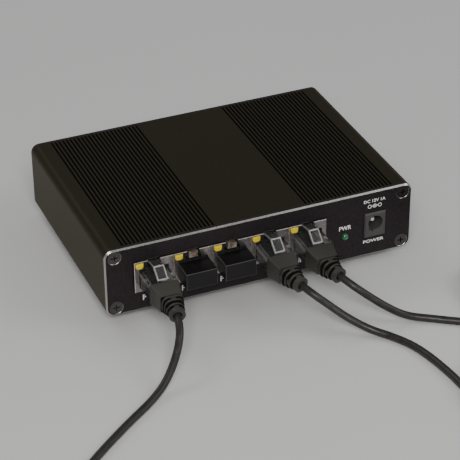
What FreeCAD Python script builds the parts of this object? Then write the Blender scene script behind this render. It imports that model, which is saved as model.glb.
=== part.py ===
"""Small five-port network appliance with three patch leads and two blanking caps.

Everything is built in millimetres with the front panel's face at y = 0, the viewer at -y and the
floor at z = 0.  On saving, all of it is moved toward the viewer, so that the appliance with its caps
is centred on the origin.
"""
import FreeCAD, Part
import math
import os

V = FreeCAD.Vector

# housing
WIDTH = 129.0
DEPTH = 89.4
FOOT_H = 4.4
HOUSING_H = 29.2
TOP_Z = FOOT_H + HOUSING_H
PANEL_T = 2.0
CORNER_R = 3.5
EDGE_CHAMFER = 0.6
WALL = 2.0
TOP_WALL = 2.5
GROOVE_W = 0.7
GROOVE_DEEP = 0.8
GROOVE_PITCH = 1.6
GROOVE_FIRST_X = 19.4
GROOVES_PER_SIDE = 24
FOOT_R = 5.0
FOOT_X = 53.0
FOOT_Y = (12.0, 77.4)

# panel screws
SCREW_X = 60.4
SCREW_MID_Z = 19.0
SCREW_DZ = 11.15
SCREW_R = 1.5
SCREW_BORE_R = 1.53
SCREW_HEAD_R = 2.65
SCREW_LONG = 9.0
BOSS_R = 3.2

# circuit board
BOARD_TOP = 13.0
BOARD_T = 1.6
BOARD_HALF_W = 61.0
BOARD_Y = (4.0, 84.0)
RAIL_GAP = 0.1
RAIL_T = 1.5
RAIL_IN = 60.0

# network jacks
PORTS = {1: -45.0, 2: -29.0, 3: -13.0, 4: 3.0, 5: 19.0}
JACK_HALF_W = 7.95
JACK_TOP = 26.4
JACK_PROUD = 0.8
JACK_BACK = 20.2
SHEET = 0.3
OPENING_HALF_W = 6.05
OPENING_Z = (14.6, 23.0)
POCKET_HALF_W = 6.0
POCKET_TOP = 22.1
POCKET_DEEP = 12.5
LATCH_WAY_HALF_W = 3.3
LATCH_WAY_TOP = 24.0
NOTCH_HALF_W = 2.35
CONTACTS = 8
CONTACT_PITCH = 1.02

# power jack and light
DC_X = 48.4
DC_HALF_W = 4.6
DC_TOP = 24.0
DC_BACK = 13.4
DC_HOLE_Z = 19.5
DC_HOLE_R = 3.1
DC_HOLE_DEEP = 11.0
DC_PIN_R = 1.05
DC_PIN_RECESS = 2.5
LED_X = 35.5
LED_Z = 15.6
LED_R = 1.5

# plugs, caps and boots
PLUG_HALF_W = 5.85
PLUG_Z = (14.8, 21.9)
PLUG_NOSE = 11.5
PLUG_TAIL = -11.1
PLUG_RECESS_HALF_W = 4.4
PLUG_RECESS_Z = 19.5
HINGE_Y = 9.85
HINGE_Z = 22.45
LATCH_HALF_W = 1.8
FAR_LATCH_SHIFT = 0.15
CAP_OUT = 9.7
CAP_HALF_W = 6.35
BOOT_LONG = 7.5
AXIS_Z = 17.8
RELIEF_END = 26.8

# leads
CORD_R = 1.5
CORD_IN_BOOT = 4.0
FLOOR_Z = 1.5
COIL_IN_R = 10.4
COIL_OUT_R = 22.8
COIL_H = 6.2
ARC_SHARE = 0.45
LEADS = {
    1: {
        "tilt": 11.0,
        "toward": (-0.7, -0.7),
        "route": [
            (-46.4, -31.5, 16.4),
            (-50.2, -38.3, 10.6),
            (-57.0, -45.0, 4.0),
            (-65.2, -51.4, 1.5),
            (-79.0, -61.2, 1.5),
            (-98.5, -77.0, 1.5),
        ],
        "coil": (-99.0, -108.5),
        "coil_in": 135.0,
        "coil_out": 270.0,
        "far_heading": -98.0,
    },
    4: {
        "tilt": 19.0,
        "toward": (0.9, -0.4),
        "route": [
            (6.0, -30.9, 16.5),
            (11.9, -34.7, 11.5),
            (18.2, -39.9, 6.6),
            (25.2, -44.8, 2.6),
            (31.6, -50.6, 1.5),
            (37.2, -61.0, 1.5),
            (40.6, -80.0, 1.5),
        ],
        "coil": (63.0, -98.5),
        "coil_in": 180.0,
        "coil_out": 270.0,
        "far_heading": -98.0,
    },
    5: {
        "tilt": 19.0,
        "toward": (0.9, -0.4),
        "route": [
            (22.0, -30.9, 16.5),
            (28.0, -34.7, 11.6),
            (34.6, -38.9, 6.8),
            (41.6, -41.8, 2.6),
            (49.6, -45.2, 1.5),
            (62.0, -53.6, 1.5),
            (77.0, -61.4, 1.5),
        ],
        "coil": (93.5, -41.5),
        "coil_in": 270.0,
        "coil_out": 0.0,
        "far_heading": -8.0,
    },
}
TAIL_RUN = 12.0
TAIL_Z = 4.2

ORIGIN_Y = (DEPTH - CAP_OUT) / 2


def block(x0, x1, y0, y1, z0, z1):
    return Part.makeBox(x1 - x0, y1 - y0, z1 - z0, V(x0, y0, z0))


def rod(x, z, y0, y1, radius):
    return Part.makeCylinder(radius, y1 - y0, V(x, y0, z), V(0, 1, 0))


def joined(shapes):
    return shapes[0].multiFuse(shapes[1:]).removeSplitter()


def rounded_outline(half_w, half_h, radius):
    """Closed wire in the local XY plane: a rectangle with round corners."""
    corners = [(1, 1, 0), (-1, 1, 90), (-1, -1, 180), (1, -1, 270)]
    arcs = []
    for sx, sy, start in corners:
        centre = V(sx * (half_w - radius), sy * (half_h - radius), 0)
        circle = Part.Circle(centre, V(0, 0, 1), radius)
        arcs.append(Part.Arc(circle, math.radians(start), math.radians(start + 90)).toShape())
    edges = []
    for index, arc in enumerate(arcs):
        after = arcs[(index + 1) % 4]
        edges.append(arc)
        start = arc.Vertexes[-1].Point
        end = after.Vertexes[0].Point
        if start.distanceToPoint(end) > 1e-6:
            edges.append(Part.LineSegment(start, end).toShape())
    return Part.Wire(edges)


def facing_back(shape, x, y, z):
    """Turn a shape drawn along local +Z to lie along world +Y, with its local Y as height."""
    turned = shape.copy()
    turned.Placement = FreeCAD.Placement(V(x, y, z), FreeCAD.Rotation(V(1, 0, 0), V(0, 0, 1), V(0, -1, 0)))
    return turned


def rounded_bar(half_w, z0, z1, radius, y0, y1):
    """Bar of rounded section that runs along Y."""
    face = Part.Face(rounded_outline(half_w, (z1 - z0) / 2, radius))
    bar = face.extrude(V(0, 0, y0 - y1))
    return facing_back(bar, 0, y0, (z0 + z1) / 2)


def side_profile(points, half_w):
    """Extrude a (y, z) outline across x."""
    corners = [V(-half_w, y, z) for y, z in points]
    face = Part.Face(Part.makePolygon(corners + corners[:1]))
    return face.extrude(V(2 * half_w, 0, 0))


def front_profile(points, y0, y1):
    """Extrude an (x, z) outline along y."""
    corners = [V(x, y0, z) for x, z in points]
    face = Part.Face(Part.makePolygon(corners + corners[:1]))
    return face.extrude(V(0, y1 - y0, 0))


def screw_places():
    return [(sx * SCREW_X, SCREW_MID_Z + sz * SCREW_DZ) for sx in (-1, 1) for sz in (-1, 1)]


def body_shell():
    y0 = PANEL_T
    y1 = DEPTH - PANEL_T
    outer = rounded_bar(WIDTH / 2, FOOT_H, TOP_Z, CORNER_R, y0, y1)
    inner_half = WIDTH / 2 - WALL
    floor_z = FOOT_H + WALL
    hollow = rounded_bar(inner_half, floor_z, TOP_Z - TOP_WALL, 1.5, y0, y1)
    slot_z = (BOARD_TOP - BOARD_T - RAIL_GAP, BOARD_TOP + RAIL_GAP)
    shell = outer.cut(hollow)
    added = []
    for side in (-1, 1):
        wall_x = side * (inner_half + 0.5)
        in_x = side * RAIL_IN
        x0, x1 = sorted((wall_x, in_x))
        added.append(block(x0, x1, y0, y1, slot_z[0] - RAIL_T, slot_z[0]))
        added.append(block(x0, x1, y0, y1, slot_z[1], slot_z[1] + RAIL_T))
    for x, z in screw_places():
        added.append(rod(x, z, y0, y1, BOSS_R))
    shell = shell.multiFuse(added)
    grooves = []
    for side in (-1, 1):
        for index in range(GROOVES_PER_SIDE):
            x = side * (GROOVE_FIRST_X + index * GROOVE_PITCH)
            grooves.append(block(x - GROOVE_W / 2, x + GROOVE_W / 2, y0, y1, TOP_Z - GROOVE_DEEP, TOP_Z + 1))
    bores = [rod(x, z, y0, y1, SCREW_BORE_R) for x, z in screw_places()]
    return shell.cut(Part.makeCompound(grooves)).cut(Part.makeCompound(bores)).removeSplitter()


def end_plate(face_y, inner_y):
    """Panel whose outer face, with the bevelled edge, is at face_y."""
    y0, y1 = sorted((face_y, inner_y))
    plate = rounded_bar(WIDTH / 2, FOOT_H, TOP_Z, CORNER_R, y0, y1)
    rim = [e for e in plate.Edges if all(abs(v.Point.y - face_y) < 1e-6 for v in e.Vertexes)]
    plate = plate.makeChamfer(EDGE_CHAMFER, rim)
    inward = 1 if inner_y > face_y else -1
    sinks = []
    for x, z in screw_places():
        sinks.append(rod(x, z, y0, y1, SCREW_R + 0.2))
        sinks.append(
            Part.makeCone(SCREW_HEAD_R + 0.1, SCREW_R + 0.2, 1.15, V(x, face_y, z), V(0, inward, 0))
        )
    return plate.cut(Part.makeCompound(sinks[0::2])).cut(Part.makeCompound(sinks[1::2]))


def front_panel():
    plate = end_plate(0.0, PANEL_T)
    left = PORTS[1] - JACK_HALF_W - 0.3
    right = PORTS[5] + JACK_HALF_W + 0.3
    holes = [
        block(left, right, 0, PANEL_T, BOARD_TOP - 0.25, JACK_TOP + 0.25),
        block(DC_X - DC_HALF_W - 0.3, DC_X + DC_HALF_W + 0.3, 0, PANEL_T, BOARD_TOP - 0.3, DC_TOP + 0.3),
        rod(LED_X, LED_Z, 0, PANEL_T, LED_R + 0.1),
    ]
    return plate.cut(Part.makeCompound(holes))


def rear_panel():
    return end_plate(DEPTH, DEPTH - PANEL_T)


def cross_recess(x, z, face_y, inward):
    y0, y1 = sorted((face_y, face_y + inward * 0.9))
    arm = 1.35
    flat = block(x - arm, x + arm, y0, y1, z - 0.25, z + 0.25)
    upright = block(x - 0.25, x + 0.25, y0, y1, z - arm, z + arm)
    return flat.fuse(upright)


def panel_screws():
    screws = []
    for face_y, inward in ((0.0, 1), (DEPTH, -1)):
        for x, z in screw_places():
            head_y = face_y + inward * 0.1
            head = Part.makeCone(SCREW_HEAD_R, SCREW_R, 1.1, V(x, head_y, z), V(0, inward, 0))
            shank = Part.makeCylinder(SCREW_R, SCREW_LONG, V(x, head_y + inward * 0.5, z), V(0, inward, 0))
            screw = head.fuse(shank).cut(cross_recess(x, z, head_y, inward))
            screws.append(screw)
    return Part.makeCompound(screws)


def rubber_feet():
    feet = []
    for x in (-FOOT_X, FOOT_X):
        for y in FOOT_Y:
            foot = Part.makeCone(FOOT_R - 0.6, FOOT_R, FOOT_H, V(x, y, 0))
            rim = [e for e in foot.Edges if abs(e.BoundBox.ZMax) < 1e-6]
            feet.append(foot.makeFillet(0.8, rim))
    return Part.makeCompound(feet)


def circuit_board():
    board = block(-BOARD_HALF_W, BOARD_HALF_W, BOARD_Y[0], BOARD_Y[1], BOARD_TOP - BOARD_T, BOARD_TOP)
    corners = [e for e in board.Edges if abs(e.Vertexes[0].Z - e.Vertexes[-1].Z) > 1]
    return board.makeFillet(1.5, corners)


def contact_wires():
    """Eight spring wires of one jack: a run under the plug and a leg down to the board."""
    wires = []
    for index in range(CONTACTS):
        x = (index - (CONTACTS - 1) / 2) * CONTACT_PITCH
        outline = [(1.5, 14.1), (11.6, 14.1), (11.6, BOARD_TOP), (12.0, BOARD_TOP), (12.0, 14.5), (1.5, 14.5)]
        wires.append(side_profile(outline, 0.2).translated(V(x, 0, 0)))
    return wires


def contact_grooves():
    grooves = []
    for index in range(CONTACTS):
        x = (index - (CONTACTS - 1) / 2) * CONTACT_PITCH
        grooves.append(block(x - 0.3, x + 0.3, 1.0, POCKET_DEEP, 14.1, OPENING_Z[0]))
    return grooves


def notch_outline():
    low = OPENING_Z[1]
    return [
        (-LATCH_WAY_HALF_W, low - 0.5),
        (LATCH_WAY_HALF_W, low - 0.5),
        (LATCH_WAY_HALF_W, low + 0.4),
        (NOTCH_HALF_W, JACK_TOP + 0.5),
        (-NOTCH_HALF_W, JACK_TOP + 0.5),
        (-LATCH_WAY_HALF_W, low + 0.4),
    ]


def jack_shield():
    front = -JACK_PROUD
    box = block(-JACK_HALF_W, JACK_HALF_W, front, JACK_BACK, BOARD_TOP, JACK_TOP)
    rim = [e for e in box.Edges if all(abs(v.Y - front) < 1e-6 for v in e.Vertexes)]
    box = box.makeChamfer(0.2, rim)
    inside = block(
        SHEET - JACK_HALF_W, JACK_HALF_W - SHEET, front + SHEET, JACK_BACK - SHEET,
        BOARD_TOP - 1, JACK_TOP - SHEET,
    )
    opening = block(-OPENING_HALF_W, OPENING_HALF_W, front, front + 1, *OPENING_Z)
    notch = front_profile(notch_outline(), front - 0.1, front + 1.2)
    window = block(-7.6, -2.0, front, front + SHEET, 23.5, 25.9)
    return box.cut(inside).cut(opening.fuse(notch)).cut(window)


def jack_insert():
    front = -JACK_PROUD + SHEET + 0.1
    core = block(SHEET + 0.1 - JACK_HALF_W, JACK_HALF_W - SHEET - 0.1, front, 19.8, BOARD_TOP, 26.0)
    cuts = [
        block(-POCKET_HALF_W, POCKET_HALF_W, front, POCKET_DEEP, OPENING_Z[0], POCKET_TOP),
        block(-LATCH_WAY_HALF_W, LATCH_WAY_HALF_W, front, POCKET_DEEP, POCKET_TOP, LATCH_WAY_TOP),
        block(-NOTCH_HALF_W, NOTCH_HALF_W, front, POCKET_DEEP, LATCH_WAY_TOP, 26.0),
        block(SHEET + 0.1 - JACK_HALF_W, -4.3, front, 3.5, 23.5, 25.8),
    ]
    core = core.cut(joined(cuts))
    return core.cut(Part.makeCompound(contact_grooves())).cut(Part.makeCompound(contact_wires()))


def jack_contacts():
    return Part.makeCompound([w.translated(V(c, 0, 0)) for c in PORTS.values() for w in contact_wires()])


def port_leds():
    """Lens in each shield's window: flat on top, with round lower corners and a soft front edge."""
    front = -1.4
    square = block(-7.5, -4.3, front, 3.5, 23.5, 25.8)
    low = [e for e in square.Edges if e.BoundBox.YLength > 3 and e.BoundBox.ZMax < 23.6]
    lens = square.makeFillet(1.1, low)
    rim = [e for e in lens.Edges if all(abs(v.Y - front) < 1e-6 for v in e.Vertexes)]
    lens = lens.makeFillet(0.45, rim)
    return Part.makeCompound([near(lens, port) for port in PORTS])


def power_led():
    lens = rod(LED_X, LED_Z, 0.2, 5.0, LED_R)
    dome = Part.makeSphere(LED_R, V(LED_X, 0.2, LED_Z))
    flange = rod(LED_X, LED_Z, 4.4, 5.4, 1.9)
    legs = []
    for side in (-0.6, 0.6):
        outline = [(5.2, LED_Z - 0.2), (7.8, LED_Z - 0.2), (7.8, BOARD_TOP), (8.2, BOARD_TOP),
                   (8.2, LED_Z + 0.2), (5.2, LED_Z + 0.2)]
        legs.append(side_profile(outline, 0.2).translated(V(LED_X + side, 0, 0)))
    return joined([lens, dome, flange] + legs)


def dc_jack_pin():
    tip_y = DC_PIN_RECESS - JACK_PROUD
    root_y = DC_HOLE_DEEP - JACK_PROUD
    pin = rod(DC_X, DC_HOLE_Z, tip_y, root_y, DC_PIN_R)
    tip = [e for e in pin.Edges if abs(e.BoundBox.YMax - tip_y) < 1e-6]
    root = rod(DC_X, DC_HOLE_Z, root_y, root_y + 2.0, DC_PIN_R + 0.6)
    return pin.makeFillet(0.5, tip).fuse(root)


def turned_to_left(shape):
    turned = shape.copy()
    turned.rotate(V(DC_X, 0, DC_HOLE_Z), V(0, 1, 0), 35)
    return turned


def dc_jack_spring():
    bottom = DC_HOLE_Z - 3.9
    outline = [(0.6, bottom), (10.2, bottom), (10.2, bottom + 0.4), (6.0, bottom + 0.4),
               (4.6, bottom + 1.1), (3.8, bottom + 1.1), (2.4, bottom + 0.4), (0.6, bottom + 0.4)]
    return turned_to_left(side_profile(outline, 1.0).translated(V(DC_X, 0, 0)))


def dc_jack_housing():
    front = -JACK_PROUD
    box = block(DC_X - DC_HALF_W, DC_X + DC_HALF_W, front, DC_BACK, BOARD_TOP, DC_TOP)
    rim = [e for e in box.Edges if all(abs(v.Y - front) < 1e-6 for v in e.Vertexes)]
    box = box.makeChamfer(0.45, rim)
    hole = rod(DC_X, DC_HOLE_Z, front, front + DC_HOLE_DEEP, DC_HOLE_R)
    slot = turned_to_left(block(DC_X - 1.1, DC_X + 1.1, front, 10.2, DC_HOLE_Z - 3.9, DC_HOLE_Z - 2.0))
    return box.cut(hole.fuse(slot)).cut(dc_jack_pin())


def processor():
    return block(-18.0, -2.0, 46.0, 62.0, BOARD_TOP, BOARD_TOP + 1.4)


def memory_chips():
    return Part.makeCompound([
        block(6.0, 16.0, y, y + 8.0, BOARD_TOP, BOARD_TOP + 1.0) for y in (44.0, 56.0)
    ])


def magnetics():
    return Part.makeCompound([
        block(x - 7.0, x + 7.0, 26.0, 36.0, BOARD_TOP, BOARD_TOP + 5.5) for x in (-37.0, -5.0, 19.0)
    ])


def capacitors():
    cans = []
    for x, y in ((36.0, 34.0), (46.0, 34.0), (46.0, 46.0)):
        can = Part.makeCylinder(3.15, 7.7, V(x, y, BOARD_TOP))
        rim = [e for e in can.Edges if e.BoundBox.ZMin > BOARD_TOP + 7]
        cans.append(can.makeFillet(0.6, rim))
    return Part.makeCompound(cans)


def inductors():
    coils = []
    for x, y in ((34.0, 48.0), (34.0, 60.0)):
        core = block(x - 3.5, x + 3.5, y - 3.5, y + 3.5, BOARD_TOP, BOARD_TOP + 4.0)
        upright = [e for e in core.Edges if e.BoundBox.ZLength > 3]
        coils.append(core.makeFillet(1.2, upright))
    return Part.makeCompound(coils)


def blades():
    shapes = []
    for index in range(CONTACTS):
        x = (index - (CONTACTS - 1) / 2) * CONTACT_PITCH
        shapes.append(block(x - 0.15, x + 0.15, 7.5, 11.0, PLUG_Z[0], PLUG_Z[0] + 2.2))
    return shapes


def latch():
    """Latch tab: hinge barrel at the nose, long arm, shoulder near the hinge, dished finger end."""
    arm = side_profile(
        [(9.85, 22.95), (-0.8, 25.95), (-5.7, 26.6), (-10.3, 22.8), (-10.0, 21.9), (-5.3, 25.6),
         (-0.8, 24.95), (9.85, 21.95)],
        LATCH_HALF_W,
    )
    finger = side_profile([(-5.7, 26.6), (-10.3, 22.8), (-10.0, 21.9), (-5.3, 25.6)], LATCH_HALF_W + 0.3)
    pocket = side_profile([(-6.35, 26.45), (-10.05, 23.39), (-9.64, 22.89), (-5.94, 25.95)], LATCH_HALF_W - 0.15)
    shoulder = side_profile([(9.0, 23.19), (7.2, 23.7), (7.2, 22.73), (9.0, 22.2)], 2.9)
    barrel = Part.makeCylinder(0.5, 2 * LATCH_HALF_W, V(-LATCH_HALF_W, HINGE_Y, HINGE_Z), V(1, 0, 0))
    return joined([arm, finger, shoulder, barrel]).cut(pocket)


def short_latch():
    """Latch of a blanking plug, cut off level with the jack."""
    arm = side_profile([(9.85, 22.95), (-1.0, 26.0), (-1.0, 23.4), (4.0, 23.4), (9.85, 21.95)], LATCH_HALF_W)
    barrel = Part.makeCylinder(0.5, 2 * LATCH_HALF_W, V(-LATCH_HALF_W, HINGE_Y, HINGE_Z), V(1, 0, 0))
    return joined([arm, barrel])


def latch_root():
    return block(-1.6, 1.6, HINGE_Y + 0.55, PLUG_NOSE, PLUG_Z[1] - 0.5, 22.9)


def plug():
    body = block(-PLUG_HALF_W, PLUG_HALF_W, PLUG_TAIL, PLUG_NOSE, *PLUG_Z)
    long_edges = [e for e in body.Edges if e.BoundBox.YLength > 5]
    body = body.makeFillet(0.3, long_edges)
    recess = block(-PLUG_RECESS_HALF_W, PLUG_RECESS_HALF_W, PLUG_TAIL, 2.0, PLUG_RECESS_Z, PLUG_Z[1])
    return body.cut(recess).fuse(latch_root()).cut(Part.makeCompound(blades()))


def blank_plug():
    front = -JACK_PROUD - 0.1
    body = block(-PLUG_HALF_W, PLUG_HALF_W, front, PLUG_NOSE, *PLUG_Z)
    tail = block(-4.8, 4.8, front - 5.0, front, 16.0, 20.8)
    nose_rim = [e for e in body.Edges if all(abs(v.Y - PLUG_NOSE) < 1e-6 for v in e.Vertexes)]
    return body.makeChamfer(0.4, nose_rim).fuse(tail).fuse(latch_root())


def blank_cap():
    front = -JACK_PROUD - 0.1
    cap = block(-CAP_HALF_W, CAP_HALF_W, -CAP_OUT, front, PLUG_Z[0] + 0.1, PLUG_Z[1])
    outer = [e for e in cap.Edges if not all(abs(v.Y - front) < 1e-6 for v in e.Vertexes)]
    return cap.makeFillet(0.25, outer).cut(block(-4.8, 4.8, front - 5.0, front, 16.0, 20.8))


def turned_about(direction, tilt):
    """Rotation that swings the way out of the boot by tilt degrees toward an (x, z) direction."""
    straight = FreeCAD.Rotation(V(1, 0, 0), V(0, 0, 1), V(0, -1, 0))
    size = math.hypot(*direction) or 1.0
    sideways = V(direction[0] / size, 0, direction[1] / size)
    axis = V(0, -1, 0).cross(sideways)
    return FreeCAD.Rotation(axis, tilt).multiply(straight) if tilt else straight


def relief_pieces(tilt, toward):
    """Boot's strain relief as (shape along local +Z, placement) and the end's placement.

    Four slots, each of which carries a quarter of the bend, lie between three ribs and a collar.
    """
    steps = [("slot", 0.9, 4.2), ("rib", 1.0, 4.2, 3.8, 2.5), ("slot", 0.8, 3.75),
             ("rib", 1.0, 3.8, 3.7, 2.9), ("slot", 0.9, 3.5), ("rib", 1.0, 3.45, 3.45, 3.4),
             ("slot", 0.8, 3.15), ("rib", 1.8, 3.1, 3.1, 3.05)]
    position = V(0, PLUG_TAIL - BOOT_LONG, AXIS_Z)
    slots_done = 0
    pieces = []
    for step in steps:
        length = step[1]
        if step[0] == "slot":
            slots_done += 1
            rotation = turned_about(toward, tilt * slots_done / 4)
            core = Part.makeCylinder(2.4, length + 1.0, V(0, 0, -0.5))
            reach = step[2] - 0.05
            half_x, half_y = (reach, 0.9) if slots_done % 2 else (0.9, reach)
            web = Part.makeBox(2 * half_x, 2 * half_y, length + 0.4, V(-half_x, -half_y, -0.2))
            shape = core.fuse(web)
        else:
            shape = Part.Face(rounded_outline(*step[2:])).extrude(V(0, 0, length))
        placement = FreeCAD.Placement(position, rotation)
        pieces.append((shape, placement))
        position = position + rotation.multVec(V(0, 0, length))
    return pieces, FreeCAD.Placement(position, rotation)


def boot(tilt, toward):
    front = rounded_outline(PLUG_HALF_W, 4.4, 0.8)
    rear = rounded_outline(4.35, 3.5, 0.8)
    front.Placement = FreeCAD.Placement(V(0, PLUG_TAIL, 18.0), turned_about((1, 0), 0))
    rear.Placement = FreeCAD.Placement(V(0, PLUG_TAIL - BOOT_LONG, AXIS_Z), turned_about((1, 0), 0))
    shapes = [Part.makeLoft([front, rear], True, True)]
    pieces, end = relief_pieces(tilt, toward)
    for shape, placement in pieces:
        shape.Placement = placement.multiply(shape.Placement)
        shapes.append(shape)
    hole = Part.makeCylinder(1.8, CORD_IN_BOOT + 0.3, V(0, 0, -CORD_IN_BOOT))
    hole.Placement = end
    return joined(shapes).cut(hole)


def boot_exit(port):
    """Where a lead's cord starts inside its boot, and where it leaves the collar."""
    lead = LEADS[port]
    _, end = relief_pieces(lead["tilt"], lead["toward"])
    shift = V(PORTS[port], 0, 0)
    inside = end.multVec(V(0, 0, -CORD_IN_BOOT)) + shift
    return inside, end.Base + shift


def on_coil(port, degrees, z):
    """Point on the coil's outermost turn."""
    x, y = LEADS[port]["coil"]
    turn = math.radians(degrees)
    radius = COIL_OUT_R - CORD_R
    return V(x + radius * math.cos(turn), y + radius * math.sin(turn), z)


def tail_start(port):
    """Where the far end leaves its coil, and one run further along the tangent."""
    degrees = LEADS[port]["coil_out"]
    turn = math.radians(degrees)
    start = on_coil(port, degrees, TAIL_Z)
    return start, start + V(-math.sin(turn), math.cos(turn), 0) * TAIL_RUN


def far_placement(port):
    """Places a near end (drawn at a jack) at the far end of its lead, lying on the floor."""
    lead = LEADS[port]
    rotation = FreeCAD.Rotation(V(0, 0, 1), lead["far_heading"])
    heading = rotation.multVec(V(0, 1, 0))
    _, bend = tail_start(port)
    entry = bend + heading * (TAIL_RUN - CORD_IN_BOOT)
    return FreeCAD.Placement(entry - rotation.multVec(V(0, -RELIEF_END, AXIS_Z)), rotation)


def main_route(port):
    lead = LEADS[port]
    start, _ = boot_exit(port)
    return [start] + [V(*p) for p in lead["route"]] + [on_coil(port, lead["coil_in"], FLOOR_Z)]


def tail_route(port):
    start, bend = tail_start(port)
    inside = far_placement(port).multVec(V(0, CORD_IN_BOOT - RELIEF_END, AXIS_Z))
    return [start, bend, inside]


def tube(points):
    """Round cord along straight runs joined by tangent arcs, and the radii of those arcs."""
    edges = []
    radii = []
    at = points[0]
    for before, corner, after in zip(points, points[1:], points[2:]):
        back = before - corner
        ahead = after - corner
        turn = math.pi - back.getAngle(ahead)
        trim = ARC_SHARE * min(back.Length, ahead.Length)
        radii.append(trim / math.tan(turn / 2))
        back.normalize()
        ahead.normalize()
        arc_start = corner + back * trim
        arc_end = corner + ahead * trim
        half = back + ahead
        half.normalize()
        sink = radii[-1] * (1 / math.cos(turn / 2) - 1)
        edges.append(Part.LineSegment(at, arc_start).toShape())
        edges.append(Part.Arc(arc_start, corner + half * sink, arc_end).toShape())
        at = arc_end
    edges.append(Part.LineSegment(at, points[-1]).toShape())
    path = Part.Wire(edges)
    direction = points[1] - points[0]
    section = Part.Wire(Part.makeCircle(CORD_R, points[0], direction))
    return path.makePipeShell([section], True, False), radii, path.Length


def cord_coil(port):
    x, y = LEADS[port]["coil"]
    outer = Part.makeCylinder(COIL_OUT_R, COIL_H, V(x, y, 0))
    ring = outer.cut(Part.makeCylinder(COIL_IN_R, COIL_H, V(x, y, 0)))
    rims = [e for e in ring.Edges if isinstance(e.Curve, Part.Circle)]
    return ring.makeFillet(1.4, rims)


def cord(port):
    main, radii, long = tube(main_route(port))
    tail, tail_radii, tail_long = tube(tail_route(port))
    section = math.pi * CORD_R ** 2
    for name, shape, bends, length in (("main", main, radii, long), ("tail", tail, tail_radii, tail_long)):
        ratio = shape.Volume / (section * length)
        print("cord", port, name, "radii", [round(r, 1) for r in bends], "length", round(length, 1),
              "volume ratio", round(ratio, 4))
    ring = cord_coil(port)
    return Part.makeCompound([main.cut(ring).Solids[0], tail.cut(ring).Solids[0]])


def near(shape, port):
    return shape.translated(V(PORTS[port], 0, 0))


def far(shape, port):
    placed = shape.copy()
    placed.Placement = far_placement(port).multiply(placed.Placement)
    return placed


def lead_nodes(port):
    lead = LEADS[port]
    contacts = Part.makeCompound(blades())
    far_plug = plug().fuse(latch().translated(V(0, FAR_LATCH_SHIFT, 0))).removeSplitter()
    return {
        "plug_%d" % port: near(plug(), port),
        "latch_%d" % port: near(latch(), port),
        "plug_contacts_%d" % port: near(contacts, port),
        "boot_%d" % port: near(boot(lead["tilt"], lead["toward"]), port),
        "cord_%d" % port: cord(port),
        "cord_coil_%d" % port: cord_coil(port),
        "far_plug_%d" % port: far(far_plug, port),
        "far_contacts_%d" % port: far(contacts, port),
        "far_boot_%d" % port: far(boot(0.0, (1, 0)), port),
    }


def all_nodes():
    nodes = {
        "body_shell": body_shell(),
        "front_panel": front_panel(),
        "rear_panel": rear_panel(),
        "panel_screws": panel_screws(),
        "rubber_feet": rubber_feet(),
        "circuit_board": circuit_board(),
        "jack_contacts": jack_contacts(),
        "port_leds": port_leds(),
        "power_led": power_led(),
        "dc_jack_housing": dc_jack_housing(),
        "dc_jack_pin": dc_jack_pin(),
        "dc_jack_spring": dc_jack_spring(),
        "processor": processor(),
        "memory_chips": memory_chips(),
        "magnetics": magnetics(),
        "capacitors": capacitors(),
        "inductors": inductors(),
    }
    for port in PORTS:
        nodes["jack_shield_%d" % port] = near(jack_shield(), port)
        nodes["jack_insert_%d" % port] = near(jack_insert(), port)
    for port in (2, 3):
        nodes["blank_cap_%d" % port] = near(blank_cap(), port)
        nodes["blank_plug_%d" % port] = near(blank_plug(), port)
        nodes["blank_latch_%d" % port] = near(short_latch(), port)
    for port in LEADS:
        nodes.update(lead_nodes(port))
    return nodes


os.makedirs("parts", exist_ok=True)
for name, shape in all_nodes().items():
    placed = shape.translated(V(0, -ORIGIN_Y, 0))
    placed.exportStep("parts/%s.step" % name)
    box = placed.BoundBox
    print("%-16s solids %2d valid %s  x %7.2f %7.2f  y %7.2f %7.2f  z %6.2f %6.2f" % (
        name, len(placed.Solids), placed.isValid(), box.XMin, box.XMax, box.YMin, box.YMax,
        box.ZMin, box.ZMax))
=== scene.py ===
import math

import bmesh
import bpy
from mathutils import Matrix, Vector


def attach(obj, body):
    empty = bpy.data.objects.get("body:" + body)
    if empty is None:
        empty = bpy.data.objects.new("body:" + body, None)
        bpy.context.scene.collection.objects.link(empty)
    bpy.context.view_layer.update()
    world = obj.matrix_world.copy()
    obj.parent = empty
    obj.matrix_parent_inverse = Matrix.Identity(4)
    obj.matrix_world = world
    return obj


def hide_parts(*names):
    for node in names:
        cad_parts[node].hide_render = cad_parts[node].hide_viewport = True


MM = 0.001

# the appliance, in millimetres
FRONT_Y = -39.85
TOP_Z = 33.6
GROOVE_DEEP = 0.8
GROOVES_END_X = 57.0
PORTS = {1: -45.0, 2: -29.0, 3: -13.0, 4: 3.0, 5: 19.0}
CAPPED_PORTS = (2, 3)
WIRES = 8
CONTACT_PITCH = 1.02

# plugs and boots, in millimetres: x from a jack's centre, y from the front panel's face
BOOT_END = 18.6
BOOT_AXIS_Z = 17.8
RELIEF_END = 26.8
SLOT_FLOOR_R = 2.75
CORD_IN_BOOT = 4.0
LATCH_REACH = 2.2
PLUG_WALL_REACH = 4.6
FINGER_TOP = (0.0, -5.7, 26.6)
FINGER_OUTWARD = (0.0, -0.637, 0.771)
JACKET_HALF_W = 4.2
JACKET_HALF_H = 1.9
JACKET_Y = (-11.0, 2.0)
JACKET_Z = 17.5
WIRE_R = 0.44
WIRE_Y = (1.5, 10.8)
WIRE_Z = 17.6
OVAL_STEPS = 24

# which faces of a piece get its second material: cosines to an axis, and a share of a boot's length
FLAT_COSINE = 0.97
WALL_COSINE = 0.9
RIM_COSINE = 0.98
FLANK_COSINE = 0.85
BEVEL_COSINES = (0.5, 0.9)
SLOTS_SPAN = (-0.02, 0.77)

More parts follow.
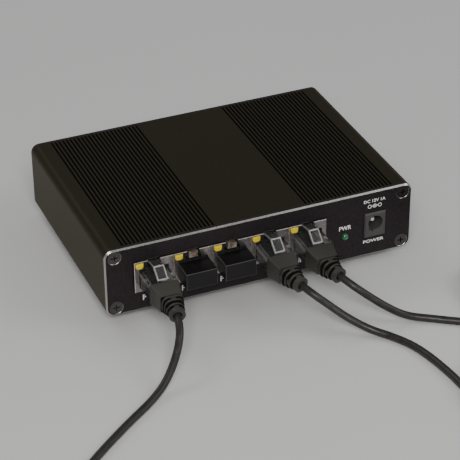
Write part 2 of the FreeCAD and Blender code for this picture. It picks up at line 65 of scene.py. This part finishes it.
# leads, in millimetres: the coil runs inward on the floor, climbs, and runs back out on top
CORD_D = 3.0
COIL_RADII = (21.3, 18.2, 15.1, 12.0)
COIL_LOW_Z = 1.5
COIL_HIGH_Z = 4.6
POINTS_PER_TURN = 14
LAYER_TURNS = 4
SHIFT_SHARE = 0.2
CLIMB_FROM = 3.55
CLIMB_TURNS = 0.25
TAIL_RUN = 12.0
TAIL_Z = 4.2
TIE_HALF_W = 2.5
TIE_THICK = 0.5
TIE_MARGIN = 2.0
TIE_STEPS = 32
LEADS = {
    1: {
        "exit": (-45.73, -26.72, 17.07),
        "route": [
            (-45.19, -22.79, 17.61),
            (-46.4, -31.5, 16.4),
            (-50.2, -38.3, 10.6),
            (-57.0, -45.0, 4.0),
            (-65.2, -51.4, 1.5),
            (-79.0, -61.2, 1.5),
            (-98.5, -77.0, 1.5),
        ],
        "coil": (-99.0, -108.5),
        "coil_in": 135.0,
        "coil_out": 270.0,
        "far_heading": -8.0,
    },
    4: {
        "exit": (4.62, -26.57, 17.08),
        "route": [
            (3.43, -22.79, 17.61),
            (6.0, -30.9, 16.5),
            (11.9, -34.7, 11.5),
            (18.2, -39.9, 6.6),
            (25.2, -44.8, 2.6),
            (31.6, -50.6, 1.5),
            (37.2, -61.0, 1.5),
            (40.6, -80.0, 1.5),
        ],
        "coil": (63.0, -98.5),
        "coil_in": 180.0,
        "coil_out": 270.0,
        "far_heading": -8.0,
    },
    5: {
        "exit": (20.62, -26.57, 17.08),
        "route": [
            (19.43, -22.79, 17.61),
            (22.0, -30.9, 16.5),
            (28.0, -34.7, 11.6),
            (34.6, -38.9, 6.8),
            (41.6, -41.8, 2.6),
            (49.6, -45.2, 1.5),
            (62.0, -53.6, 1.5),
            (77.0, -61.4, 1.5),
        ],
        "coil": (93.5, -41.5),
        "coil_in": 270.0,
        "coil_out": 360.0,
        "far_heading": 82.0,
    },
}
WIRE_COLOURS = (
    (0.80, 0.62, 0.48), (0.75, 0.24, 0.03), (0.52, 0.72, 0.54), (0.04, 0.12, 0.50),
    (0.50, 0.58, 0.78), (0.03, 0.32, 0.10), (0.60, 0.50, 0.42), (0.18, 0.07, 0.03),
)

# print on the panel, in millimetres: name, text, centre x, centre z, height, width
LABELS = (
    ("label_port_1", "PORT1", -45.0, 9.8, 2.5, 9.4),
    ("label_port_2", "PORT2", -29.0, 9.8, 2.5, 9.4),
    ("label_port_3", "PORT3", -13.0, 9.8, 2.5, 9.4),
    ("label_port_4", "PC", 3.0, 9.8, 2.5, 3.6),
    ("label_uplink", "UPLINK", 19.0, 9.8, 2.5, 9.8),
    ("label_power_light", "PWR", 35.5, 19.6, 2.0, 5.3),
    ("label_supply", "DC 12V 1A", 48.1, 29.4, 1.4, 9.4),
    ("label_power_in", "POWER", 48.1, 10.9, 1.4, 9.0),
)
PRINT_OUT = 0.02
PRINT_IN = 0.01
POLARITY_Z = 26.9
POLARITY_XS = (46.0, 48.2, 50.4)

# place in metres, angles in degrees, lens in millimetres
CAMERA_AT = (-0.24864, -0.60918, 0.41888)
CAMERA_YAW = 22.443
CAMERA_PITCH = 32.194
CAMERA_ROLL = -0.5875
CAMERA_LENS = 149.32

GRAIN_RELIEF = 0.00003
FLOOR_HALF_W = 3.0


def at(x, y, z):
    """A point given in millimetres, with y counted from the front panel's face, in metres."""
    return Vector((x * MM, (y + FRONT_Y) * MM, z * MM))


# ---------------------------------------------------------------- camera and light


def make_camera():
    yaw, pitch, roll = (math.radians(v) for v in (CAMERA_YAW, CAMERA_PITCH, CAMERA_ROLL))
    level = math.cos(pitch)
    ahead = Vector((math.sin(yaw) * level, math.cos(yaw) * level, -math.sin(pitch)))
    right = Vector((math.cos(yaw), -math.sin(yaw), 0.0))
    up = right.cross(ahead)
    right_rolled = right * math.cos(roll) + up * math.sin(roll)
    up_rolled = up * math.cos(roll) - right * math.sin(roll)
    turn = Matrix((right_rolled, up_rolled, -ahead)).transposed().to_4x4()
    data = bpy.data.cameras.new("camera")
    data.lens = CAMERA_LENS
    data.sensor_width = 36.0
    data.clip_start = 0.05
    data.clip_end = 20.0
    camera = bpy.data.objects.new("camera", data)
    camera.matrix_world = Matrix.Translation(CAMERA_AT) @ turn
    bpy.context.scene.collection.objects.link(camera)
    bpy.context.scene.camera = camera


def make_area_light(name, place, width, height, power, colour):
    """A soft rectangular light that shines on the origin."""
    data = bpy.data.lights.new(name, "AREA")
    data.shape = "RECTANGLE"
    data.size = width
    data.size_y = height
    data.energy = power
    data.color = colour
    light = bpy.data.objects.new(name, data)
    light.location = place
    light.rotation_euler = (-Vector(place)).to_track_quat("-Z", "Y").to_euler()
    bpy.context.scene.collection.objects.link(light)


def make_lights():
    make_area_light("key_light", (-0.45, -1.2, 1.0), 0.7, 0.5, 15.0, (1.0, 0.98, 0.95))
    make_area_light("fill_light", (1.0, -0.6, 0.9), 0.8, 0.6, 4.0, (0.95, 0.97, 1.0))
    make_area_light("rear_light", (-0.6, 1.2, 1.4), 1.0, 0.5, 4.0, (1.0, 1.0, 1.0))
    world = bpy.data.worlds.new("studio")
    bpy.context.scene.world = world
    world.use_nodes = True
    sky = world.node_tree.nodes["Background"]
    sky.inputs["Color"].default_value = (0.82, 0.84, 0.86, 1.0)
    sky.inputs["Strength"].default_value = 0.3


# ---------------------------------------------------------------- materials


def new_material(name):
    material = bpy.data.materials.new(name)
    material.use_nodes = True
    tree = material.node_tree
    shader = tree.nodes["Principled BSDF"]
    place = tree.nodes.new("ShaderNodeTexCoord")
    return material, tree, shader, place


def noise(tree, place, scale, detail, stretch=(1.0, 1.0, 1.0)):
    mapping = tree.nodes.new("ShaderNodeMapping")
    mapping.inputs["Scale"].default_value = stretch
    tree.links.new(place.outputs["Object"], mapping.inputs["Vector"])
    texture = tree.nodes.new("ShaderNodeTexNoise")
    texture.inputs["Scale"].default_value = scale
    texture.inputs["Detail"].default_value = detail
    tree.links.new(mapping.outputs["Vector"], texture.inputs["Vector"])
    return texture.outputs["Fac"]


def spread(tree, value, low, high):
    """Map a noise value's middle range to low..high."""
    node = tree.nodes.new("ShaderNodeMapRange")
    node.inputs["From Min"].default_value = 0.3
    node.inputs["From Max"].default_value = 0.7
    node.inputs["To Min"].default_value = low
    node.inputs["To Max"].default_value = high
    tree.links.new(value, node.inputs["Value"])
    return node.outputs["Result"]


def two_tone(tree, value, dark, light):
    ramp = tree.nodes.new("ShaderNodeValToRGB")
    ramp.color_ramp.elements[0].position = 0.3
    ramp.color_ramp.elements[0].color = (*dark, 1.0)
    ramp.color_ramp.elements[1].position = 0.7
    ramp.color_ramp.elements[1].color = (*light, 1.0)
    tree.links.new(value, ramp.inputs["Fac"])
    return ramp.outputs["Color"]


def add_bump(tree, shader, value, strength, distance):
    bump = tree.nodes.new("ShaderNodeBump")
    bump.inputs["Strength"].default_value = strength
    bump.inputs["Distance"].default_value = distance
    tree.links.new(value, bump.inputs["Height"])
    tree.links.new(bump.outputs["Normal"], shader.inputs["Normal"])


def surface(
    name, dark, light, rough, metal=0.0, patch=60.0, grain=2500.0, bump=0.1,
    stretch=(1.0, 1.0, 1.0), glint=0.5, tint=(1.0, 1.0, 1.0),
):
    """A material whose colour drifts between two tones, with a fine grain in shine and relief."""
    material, tree, shader, place = new_material(name)
    broad = noise(tree, place, patch, 3.0)
    fine = noise(tree, place, grain, 2.0, stretch)
    tree.links.new(two_tone(tree, broad, dark, light), shader.inputs["Base Color"])
    tree.links.new(spread(tree, fine, rough[0], rough[1]), shader.inputs["Roughness"])
    add_bump(tree, shader, fine, bump, GRAIN_RELIEF)
    shader.inputs["Metallic"].default_value = metal
    shader.inputs["Specular IOR Level"].default_value = glint
    shader.inputs["Specular Tint"].default_value = (*tint, 1.0)
    return material


def jacket_surface():
    """Slim round cord: dark jacket with the soft lumps of the twisted pairs under it."""
    material, tree, shader, place = new_material("cord_jacket")
    lumps = noise(tree, place, 380.0, 1.0)
    tone = two_tone(tree, lumps, (0.016, 0.014, 0.012), (0.026, 0.023, 0.019))
    tree.links.new(tone, shader.inputs["Base Color"])
    tree.links.new(spread(tree, lumps, 0.34, 0.46), shader.inputs["Roughness"])
    add_bump(tree, shader, lumps, 0.5, 0.0004)
    return material


def clear_surface(name, dark, light, rough, patch=180.0, through=0.97):
    material, tree, shader, place = new_material(name)
    broad = noise(tree, place, patch, 2.0)
    fine = noise(tree, place, 150.0, 2.0)
    tree.links.new(two_tone(tree, broad, dark, light), shader.inputs["Base Color"])
    tree.links.new(spread(tree, fine, rough[0], rough[1]), shader.inputs["Roughness"])
    shader.inputs["Transmission Weight"].default_value = through
    shader.inputs["IOR"].default_value = 1.5
    return material


def lens_surface(name, dark, light, coat):
    """A tinted lens that lets a little light into its body."""
    material, tree, shader, place = new_material(name)
    broad = noise(tree, place, 400.0, 2.0)
    tree.links.new(two_tone(tree, broad, dark, light), shader.inputs["Base Color"])
    tree.links.new(spread(tree, broad, 0.22, 0.34), shader.inputs["Roughness"])
    shader.inputs["Transmission Weight"].default_value = 0.1
    shader.inputs["Subsurface Weight"].default_value = 0.3
    shader.inputs["Subsurface Radius"].default_value = (0.001, 0.001, 0.0006)
    shader.inputs["Coat Weight"].default_value = coat
    return material


def floor_surface():
    material, tree, shader, place = new_material("floor_pale")
    broad = noise(tree, place, 3.0, 3.0)
    tone = two_tone(tree, broad, (0.70, 0.70, 0.69), (0.73, 0.73, 0.72))
    tree.links.new(tone, shader.inputs["Base Color"])
    tree.links.new(spread(tree, broad, 0.55, 0.65), shader.inputs["Roughness"])
    return material


def wire_surfaces():
    looks = {}
    for index, colour in enumerate(WIRE_COLOURS):
        dark = tuple(0.85 * v for v in colour)
        looks["wire_%d" % index] = surface("wire_%d" % index, dark, colour, (0.35, 0.5), patch=500.0)
    return looks


def make_materials():
    return wire_surfaces() | {
        "shell": surface(
            "anodised_shell", (0.010, 0.0085, 0.0045), (0.025, 0.0215, 0.012), (0.40, 0.52),
            metal=0.2, patch=2200.0, grain=2400.0, bump=0.35, glint=0.25, tint=(1.0, 0.88, 0.62),
        ),
        "panel": surface(
            "anodised_panel", (0.010, 0.008, 0.009), (0.034, 0.027, 0.031), (0.36, 0.58),
            metal=0.3, patch=2400.0, grain=2600.0, bump=0.6, glint=0.3, tint=(1.0, 0.88, 0.94),
        ),
        "cut_edge": surface(
            "cut_edge", (0.44, 0.42, 0.38), (0.56, 0.53, 0.48), (0.24, 0.36),
            metal=1.0, grain=3000.0,
        ),
        "screw": surface(
            "black_steel", (0.085, 0.078, 0.078), (0.125, 0.116, 0.115), (0.18, 0.30), metal=0.9,
        ),
        "rubber": surface(
            "foot_rubber", (0.016, 0.016, 0.016), (0.024, 0.024, 0.024), (0.65, 0.8), bump=0.3,
        ),
        "board": surface(
            "solder_resist", (0.010, 0.075, 0.030), (0.015, 0.10, 0.042), (0.28, 0.4), patch=250.0,
        ),
        "nickel": surface(
            "nickel_sheet", (0.34, 0.31, 0.31), (0.45, 0.41, 0.40), (0.24, 0.38),
            metal=1.0, patch=120.0, grain=900.0, stretch=(1.0, 1.0, 6.0),
        ),
        # painted highlight: paler nickel on the shields' bevels
        "nickel_bevel_highlight": surface(
            "nickel_bevel_highlight", (0.66, 0.58, 0.54), (0.80, 0.72, 0.67), (0.20, 0.30),
            metal=0.8, patch=300.0,
        ),
        "insert": surface(
            "insert_black", (0.010, 0.010, 0.011), (0.016, 0.016, 0.017), (0.45, 0.6),
        ),
        "gold": surface(
            "contact_gold", (0.78, 0.52, 0.18), (0.88, 0.64, 0.26), (0.18, 0.28), metal=1.0,
        ),
        "yellow_lens": lens_surface("yellow_lens", (0.93, 0.66, 0.01), (1.0, 0.80, 0.03), 0.8),
        "green_lens": lens_surface("green_lens", (0.015, 0.13, 0.045), (0.03, 0.21, 0.08), 0.9),
        "power_jack": surface(
            "power_jack", (0.058, 0.052, 0.053), (0.074, 0.067, 0.068), (0.40, 0.55),
        ),
        "pin": surface(
            "pin_metal", (0.78, 0.78, 0.76), (0.88, 0.88, 0.86), (0.16, 0.26), metal=0.7,
        ),
        "brass": surface(
            "spring_brass", (0.62, 0.44, 0.16), (0.74, 0.55, 0.24), (0.22, 0.34), metal=1.0,
        ),
        "chip": surface("chip_black", (0.012, 0.012, 0.013), (0.020, 0.020, 0.021), (0.5, 0.65)),
        "can": surface(
            "can_aluminium", (0.55, 0.55, 0.55), (0.68, 0.68, 0.68), (0.3, 0.42), metal=1.0,
        ),
        "ferrite": surface("ferrite", (0.045, 0.045, 0.047), (0.07, 0.07, 0.073), (0.55, 0.7)),
        "cap": surface(
            "cap_black", (0.005, 0.0045, 0.005), (0.009, 0.008, 0.009), (0.28, 0.40),
            grain=1800.0, glint=0.3,
        ),
        "clear": clear_surface(
            "clear_moulding", (0.86, 0.87, 0.87), (0.92, 0.93, 0.94), (0.07, 0.13),
        ),
        # painted highlight: opaque pale colour for the bright walls and rims of clear mouldings
        "wall_highlight": surface(
            "clear_wall_highlight", (0.30, 0.28, 0.265), (0.48, 0.455, 0.43), (0.16, 0.28), patch=700.0,
        ),
        # painted highlight for the rounded edges of the blank caps
        "cap_edge_highlight": surface(
            "cap_edge_highlight", (0.07, 0.065, 0.062), (0.10, 0.094, 0.09), (0.25, 0.36), grain=1800.0,
        ),
        "amber_clear": clear_surface(
            "amber_moulding", (0.22, 0.14, 0.08), (0.74, 0.64, 0.56), (0.08, 0.18),
            patch=520.0, through=0.6,
        ),
        "boot": surface(
            "boot_black", (0.034, 0.031, 0.026), (0.050, 0.046, 0.038), (0.46, 0.60), grain=1600.0,
        ),
        # painted shade for the floors and walls of the top's grooves
        "groove": surface(
            "groove_painted_shade", (0.002, 0.002, 0.001), (0.005, 0.004, 0.003), (0.6, 0.75), glint=0.1,
        ),
        # painted shade for the floors and flanks of the boots' slots
        "slot": surface(
            "boot_slot", (0.003, 0.003, 0.003), (0.006, 0.006, 0.005), (0.6, 0.75), glint=0.2,
        ),
        "jacket": jacket_surface(),
        "tie": surface(
            "tie_black", (0.010, 0.010, 0.010), (0.020, 0.020, 0.020), (0.7, 0.85), bump=0.5,
        ),
        "print": surface("white_print", (0.90, 0.90, 0.88), (0.97, 0.97, 0.95), (0.5, 0.6)),
    }


NODE_LOOKS = {
    "body_shell": "shell",
    "front_panel": "panel",
    "rear_panel": "panel",
    "panel_screws": "screw",
    "rubber_feet": "rubber",
    "circuit_board": "board",
    "jack_contacts": "gold",
    "port_leds": "yellow_lens",
    "power_led": "green_lens",
    "dc_jack_housing": "power_jack",
    "dc_jack_pin": "pin",
    "dc_jack_spring": "brass",
    "processor": "chip",
    "memory_chips": "chip",
    "magnetics": "chip",
    "capacitors": "can",
    "inductors": "ferrite",
    "jack_shield": "nickel",
    "jack_insert": "insert",
    "blank_cap": "cap",
    "blank_plug": "clear",
    "blank_latch": "amber_clear",
    "plug_contacts": "gold",
    "plug": "clear",
    "latch": "clear",
    "boot": "boot",
    "cord": "jacket",
    "cord_coil": "jacket",
    "far_plug": "clear",
    "far_contacts": "gold",
    "far_boot": "boot",
}


def dress(piece, *materials):
    piece.data.materials.clear()
    for material in materials:
        piece.data.materials.append(material)


def look_of(node):
    return NODE_LOOKS[node if node in NODE_LOOKS else node.rsplit("_", 1)[0]]


def dress_frame(nodes, looks):
    for name, piece in nodes.items():
        dress(piece, looks[look_of(name)])


def accent_frame(nodes, looks):
    """Second materials for edges, grooves and walls: bare metal on panel bevels, painted highlights
    on shield bevels, cap corners and clear walls, painted shade in grooves and boot slots.
    """
    paint_groove_shade(nodes["body_shell"], looks["groove"])
    for name in ("front_panel", "rear_panel"):
        brighten_bevels(nodes[name], looks["cut_edge"])
    for port in PORTS:
        # painted highlight on the bevels of each jack's shield
        brighten_bevels(nodes["jack_shield_%d" % port], looks["nickel_bevel_highlight"])
    for port in CAPPED_PORTS:
        paint_cap_corner_highlight(nodes["blank_cap_%d" % port], looks["cap_edge_highlight"])
    for port, lead in LEADS.items():
        latch = nodes["latch_%d" % port]
        paint_wall_highlight(latch, port, LATCH_REACH, looks["wall_highlight"])
        paint_rim_highlight(latch)
        paint_wall_highlight(nodes["plug_%d" % port], port, PLUG_WALL_REACH, looks["wall_highlight"])
        accent_boots(nodes, port, lead, looks["slot"])


# painted shade in the slots of a lead's near and far boots
def accent_boots(nodes, port, lead, material):
    start = Vector((PORTS[port], -BOOT_END, BOOT_AXIS_Z))
    paint_slot_shade(nodes["boot_%d" % port], start, Vector(lead["exit"]), material)
    placement = far_place(lead)
    far_start = placement @ Vector((0.0, -BOOT_END, BOOT_AXIS_Z))
    far_end = placement @ Vector((0.0, -RELIEF_END, BOOT_AXIS_Z))
    paint_slot_shade(nodes["far_boot_%d" % port], far_start, far_end, material)


def paint_cap_corner_highlight(cap, material):
    """The rounded edges of a cap get a painted highlight, a little paler than its faces."""
    cap.data.materials.append(material)
    for face in cap.data.polygons:
        if max(abs(v) for v in face.normal) < FLAT_COSINE:
            face.material_index = 1


def paint_wall_highlight(piece, port, half_w, material):
    """Narrow upright walls of a clear moulding, close to its middle, get a painted highlight where
    they catch the light.
    """
    piece.data.materials.append(material)
    for face in piece.data.polygons:
        middle = piece.matrix_world @ face.center
        if abs(face.normal.x) > WALL_COSINE and abs(middle.x / MM - PORTS[port]) < half_w:
            face.material_index = 1


def paint_groove_shade(shell, material):
    """The floors and walls of the top's grooves get a painted shade: a matt colour darker than the
    ribs between them.
    """
    shell.data.materials.append(material)
    for face in shell.data.polygons:
        middle = shell.matrix_world @ face.center
        below_top = TOP_Z - middle.z / MM
        if 0.05 < below_top < GROOVE_DEEP + 0.05 and abs(middle.x / MM) < GROOVES_END_X:
            face.material_index = 1


def brighten_bevels(plate, material):
    """The bevels of a panel are bare metal and shine more than its faces; on a shield the paler
    bevels are a painted highlight.
    """
    plate.data.materials.append(material)
    low, high = BEVEL_COSINES
    for face in plate.data.polygons:
        if low < abs(face.normal.y) < high:
            face.material_index = 1


def paint_slot_shade(boot, start, end, material):
    """The floors and flanks of the strain relief's slots get a painted shade, darker than the tops
    of its ribs.
    """
    boot.data.materials.append(material)
    base = at(*start)
    along = at(*end) - base
    first, last = SLOTS_SPAN
    for face in boot.data.polygons:
        middle = boot.matrix_world @ face.center - base
        share = middle.dot(along) / along.length_squared
        off_axis = (middle - along * share).length
        is_floor = off_axis < SLOT_FLOOR_R * MM
        is_flank = abs(face.normal.dot(along.normalized())) > FLANK_COSINE
        if first < share < last and (is_floor or is_flank):
            face.material_index = 1


def paint_rim_highlight(latch):
    """The raised rim round the dish of the latch's finger gets the same painted highlight as its
    walls.
    """
    outward = Vector(FINGER_OUTWARD)
    top = outward.dot(at(*FINGER_TOP))
    for face in latch.data.polygons:
        middle = latch.matrix_world @ face.center
        if face.normal.dot(outward) > RIM_COSINE and outward.dot(middle) > top - 0.1 * MM:
            face.material_index = 1


# ---------------------------------------------------------------- cords


def soft_step(value):
    value = max(0.0, min(1.0, value))
    return value * value * (3.0 - 2.0 * value)


def coil_place(turns, total):
    """Radius and height after so many turns: four turns inward on the floor, then outward on top."""
    pitch = COIL_RADII[0] - COIL_RADII[1]
    innermost = LAYER_TURNS - 1
    if turns < LAYER_TURNS:
        whole = min(int(turns), innermost)
        part = (turns - whole - (1.0 - SHIFT_SHARE)) / SHIFT_SHARE
        radius = COIL_RADII[whole]
        if whole < innermost:
            radius -= pitch * soft_step(part)
        climb = soft_step((turns - CLIMB_FROM) / CLIMB_TURNS)
        return radius, COIL_LOW_Z + (COIL_HIGH_Z - COIL_LOW_Z) * climb
    left = total - turns
    whole = min(int(left), innermost)
    part = (left - whole) / SHIFT_SHARE
    radius = COIL_RADII[whole]
    if whole > 0:
        radius += pitch * (1.0 - soft_step(part))
    return radius, COIL_HIGH_Z


def coil_points(lead):
    """Control points of the turns, set a little outward because the spline runs inside them."""
    outward = 1.0 / math.cos(math.pi / POINTS_PER_TURN)
    total = 7.0 + (lead["coil_out"] - lead["coil_in"]) / 360.0
    count = round(total * POINTS_PER_TURN)
    points = []
    for index in range(count + 1):
        turns = total * index / count
        radius, height = coil_place(turns, total)
        angle = math.radians(lead["coil_in"]) + turns * 2.0 * math.pi
        x, y = lead["coil"]
        points.append((
            x + radius * outward * math.cos(angle),
            y + radius * outward * math.sin(angle),
            height,
        ))
    return points


def tail_points(lead):
    x, y = lead["coil"]
    angle = math.radians(lead["coil_out"])
    heading = math.radians(lead["far_heading"])
    start_x = x + COIL_RADII[0] * math.cos(angle)
    start_y = y + COIL_RADII[0] * math.sin(angle)
    bend_x = start_x - math.sin(angle) * TAIL_RUN
    bend_y = start_y + math.cos(angle) * TAIL_RUN
    return [
        (bend_x, bend_y, TAIL_Z),
        (bend_x + math.cos(heading) * TAIL_RUN, bend_y + math.sin(heading) * TAIL_RUN, TAIL_Z),
    ]


def make_cord(port, lead, looks):
    points = lead["route"] + coil_points(lead) + tail_points(lead)
    data = bpy.data.curves.new("lead_cord_%d" % port, "CURVE")
    data.dimensions = "3D"
    data.bevel_depth = CORD_D / 2 * MM
    data.bevel_resolution = 5
    data.resolution_u = 6
    spline = data.splines.new("NURBS")
    spline.points.add(len(points) - 1)
    for control, point in zip(spline.points, points):
        control.co = (*at(*point), 1.0)
    spline.order_u = 3
    spline.use_endpoint_u = True
    piece = bpy.data.objects.new("lead_cord_%d" % port, data)
    bpy.context.scene.collection.objects.link(piece)
    data.materials.append(looks["jacket"])
    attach(piece, "lead_%d" % port)
    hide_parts("cord_%d" % port, "cord_coil_%d" % port)
    return piece


def mesh_piece(name, shape, *materials):
    """Turn a bmesh into an object of the scene."""
    bmesh.ops.recalc_face_normals(shape, faces=shape.faces)
    mesh = bpy.data.meshes.new(name)
    shape.to_mesh(mesh)
    shape.free()
    piece = bpy.data.objects.new(name, mesh)
    bpy.context.scene.collection.objects.link(piece)
    dress(piece, *materials)
    return piece


def join_rings(shape, first, second):
    """Faces between two rings of vertices of the same count."""
    faces = []
    for step in range(len(first)):
        after = (step + 1) % len(first)
        faces.append(shape.faces.new((first[step], first[after], second[after], second[step])))
    return faces


def squared(value):
    """Push a sine or cosine toward plus or minus one, for an oval with flatter sides."""
    return math.copysign(abs(value) ** 0.5, value)


def tie_ring(shape, lead, angle, side, inset):
    """One rim of the strap: inset in from its outside, to one side of the radial line at angle."""
    across = (COIL_RADII[0] - COIL_RADII[3]) / 2 + TIE_MARGIN
    tall = (COIL_HIGH_Z + CORD_D / 2 + TIE_THICK) / 2
    mid_radius = (COIL_RADII[0] + COIL_RADII[3]) / 2
    x, y = lead["coil"]
    ring = []
    for step in range(TIE_STEPS):
        turn = 2.0 * math.pi * step / TIE_STEPS
        radial = mid_radius + squared(math.cos(turn)) * (across - inset)
        height = tall + squared(math.sin(turn)) * (tall - inset)
        ring.append(shape.verts.new(at(
            x + radial * math.cos(angle) - side * math.sin(angle),
            y + radial * math.sin(angle) + side * math.cos(angle),
            height,
        )))
    return ring


def make_tie(port, lead, looks):
    """A soft strap round the coil's eight strands, on the side away from both ends."""
    angle = math.radians((lead["coil_in"] + lead["coil_out"]) / 2 - 180.0)
    shape = bmesh.new()
    rings = []
    for side in (-TIE_HALF_W, TIE_HALF_W):
        for inset in (0.0, TIE_THICK):
            rings.append(tie_ring(shape, lead, angle, side, inset))
    for first, second in ((0, 2), (2, 3), (3, 1), (1, 0)):
        join_rings(shape, rings[first], rings[second])
    piece = mesh_piece("coil_tie_%d" % port, shape, looks["tie"])
    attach(piece, "lead_%d" % port)
    return piece


def far_place(lead):
    """Placement of a far plug: its nose points along the heading, just above the floor."""
    bend = Vector(tail_points(lead)[0])
    heading = math.radians(lead["far_heading"])
    ahead = Vector((math.cos(heading), math.sin(heading), 0.0))
    turn = Matrix.Rotation(heading - math.pi / 2, 4, "Z")
    entry = bend + ahead * (TAIL_RUN - CORD_IN_BOOT)
    return Matrix.Translation(entry) @ turn @ Matrix.Translation((0.0, RELIEF_END, -BOOT_AXIS_Z))


def add_bar(shape, place, half_w, half_h, ends, x, z, material):
    """Bar of oval section along y, drawn at a jack's centre and carried to where the plug is."""
    rings = []
    for y in ends:
        ring = []
        for step in range(OVAL_STEPS):
            turn = 2.0 * math.pi * step / OVAL_STEPS
            point = place @ Vector((x + half_w * math.cos(turn), y, z + half_h * math.sin(turn)))
            ring.append(shape.verts.new(at(*point)))
        rings.append(ring)
    faces = [shape.faces.new(rings[0]), shape.faces.new(rings[1])]
    for face in faces + join_rings(shape, *rings):
        face.material_index = material


def make_core(name, port, place, looks):
    """Flattened jacket inside a clear plug, and the eight wires from it to the contacts."""
    shape = bmesh.new()
    add_bar(shape, place, JACKET_HALF_W, JACKET_HALF_H, JACKET_Y, 0.0, JACKET_Z, 0)
    for index in range(WIRES):
        x = (index - (WIRES - 1) / 2) * CONTACT_PITCH
        add_bar(shape, place, WIRE_R, WIRE_R, WIRE_Y, x, WIRE_Z, index + 1)
    wires = [looks["wire_%d" % index] for index in range(WIRES)]
    piece = mesh_piece(name, shape, looks["jacket"], *wires)
    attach(piece, "lead_%d" % port)
    return piece


def make_cores(port, lead, looks):
    near = Matrix.Translation((PORTS[port], 0.0, 0.0))
    return [
        make_core("plug_core_%d" % port, port, near, looks),
        make_core("far_plug_core_%d" % port, port, far_place(lead), looks),
    ]


def make_leads(looks):
    for port, lead in LEADS.items():
        cord = make_cord(port, lead, looks)
        tie = make_tie(port, lead, looks)
        cores = make_cores(port, lead, looks)


# ---------------------------------------------------------------- printed labels


def make_label(name, text, x, z, height, width, looks):
    """White print on the front panel, centred at x, z."""
    data = bpy.data.curves.new(name, "FONT")
    data.body = text
    data.align_x = "CENTER"
    data.align_y = "CENTER"
    data.extrude = 0.00001
    data.offset = 0.018
    data.resolution_u = 4
    letters = bpy.data.objects.new(name + "_letters", data)
    bpy.context.scene.collection.objects.link(letters)
    bpy.context.view_layer.update()
    mesh = bpy.data.meshes.new_from_object(letters)
    bpy.data.objects.remove(letters)
    low = Vector((min(v.co[i] for v in mesh.vertices) for i in range(3)))
    high = Vector((max(v.co[i] for v in mesh.vertices) for i in range(3)))
    centre = (low + high) / 2
    size = high - low
    for vertex in mesh.vertices:
        across = (vertex.co.x - centre.x) / size.x * width
        up = (vertex.co.y - centre.y) / size.y * height
        y = -PRINT_OUT if vertex.co.z > centre.z else PRINT_IN
        vertex.co = at(x + across, y, z + up)
    piece = bpy.data.objects.new(name, mesh)
    bpy.context.scene.collection.objects.link(piece)
    dress(piece, looks["print"])
    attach(piece, "appliance")


def make_polarity_mark(looks):
    """Three small rings in a row joined by short lines, printed over the power jack."""
    shape = bmesh.new()
    for x in POLARITY_XS:
        add_print_ring(shape, x, POLARITY_Z, 0.85, 0.6)
    for left, right in zip(POLARITY_XS, POLARITY_XS[1:]):
        add_print_box(shape, (left + right) / 2, POLARITY_Z, 0.28, 0.13)
    add_print_ring(shape, POLARITY_XS[1], POLARITY_Z, 0.35, 0.0)
    piece = mesh_piece("label_polarity", shape, looks["print"])
    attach(piece, "appliance")


def add_print_outline(shape, points):
    """Thin slab of print from an (x, z) outline."""
    front = [shape.verts.new(at(x, -PRINT_OUT, z)) for x, z in points]
    back = [shape.verts.new(at(x, PRINT_IN, z)) for x, z in points]
    shape.faces.new(front)
    shape.faces.new(back)
    join_rings(shape, front, back)


def add_print_box(shape, x, z, half_w, half_h):
    corners = ((-1, -1), (1, -1), (1, 1), (-1, 1))
    add_print_outline(shape, [(x + sx * half_w, z + sz * half_h) for sx, sz in corners])


def add_print_ring(shape, x, z, outer, inner):
    """Ring as a row of small four-sided slabs, or nearly a disc when inner is zero."""
    low = max(inner, 0.02)
    for step in range(OVAL_STEPS):
        outline = []
        for radius, edge in ((low, step), (outer, step), (outer, step + 1), (low, step + 1)):
            turn = 2.0 * math.pi * edge / OVAL_STEPS
            outline.append((x + radius * math.cos(turn), z + radius * math.sin(turn)))
        add_print_outline(shape, outline)


def make_labels(looks):
    for label in LABELS:
        make_label(*label, looks)
    make_polarity_mark(looks)


# ---------------------------------------------------------------- floor


def make_floor():
    mesh = bpy.data.meshes.new("floor")
    half = FLOOR_HALF_W
    corners = [(-half, -half, 0.0), (half, -half, 0.0), (half, half, 0.0), (-half, half, 0.0)]
    mesh.from_pydata(corners, [], [(0, 1, 2, 3)])
    floor = bpy.data.objects.new("floor", mesh)
    bpy.context.scene.collection.objects.link(floor)
    mesh.materials.append(floor_surface())


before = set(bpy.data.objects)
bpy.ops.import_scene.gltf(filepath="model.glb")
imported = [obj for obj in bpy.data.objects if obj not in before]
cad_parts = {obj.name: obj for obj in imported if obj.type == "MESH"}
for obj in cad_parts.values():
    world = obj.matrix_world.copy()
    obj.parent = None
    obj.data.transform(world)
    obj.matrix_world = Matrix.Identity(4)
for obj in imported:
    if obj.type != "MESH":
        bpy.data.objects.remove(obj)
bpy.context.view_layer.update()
make_camera()
make_lights()
LOOKS = make_materials()
make_leads(LOOKS)
dress_frame(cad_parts, LOOKS)
accent_frame(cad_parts, LOOKS)
make_labels(LOOKS)
make_floor()
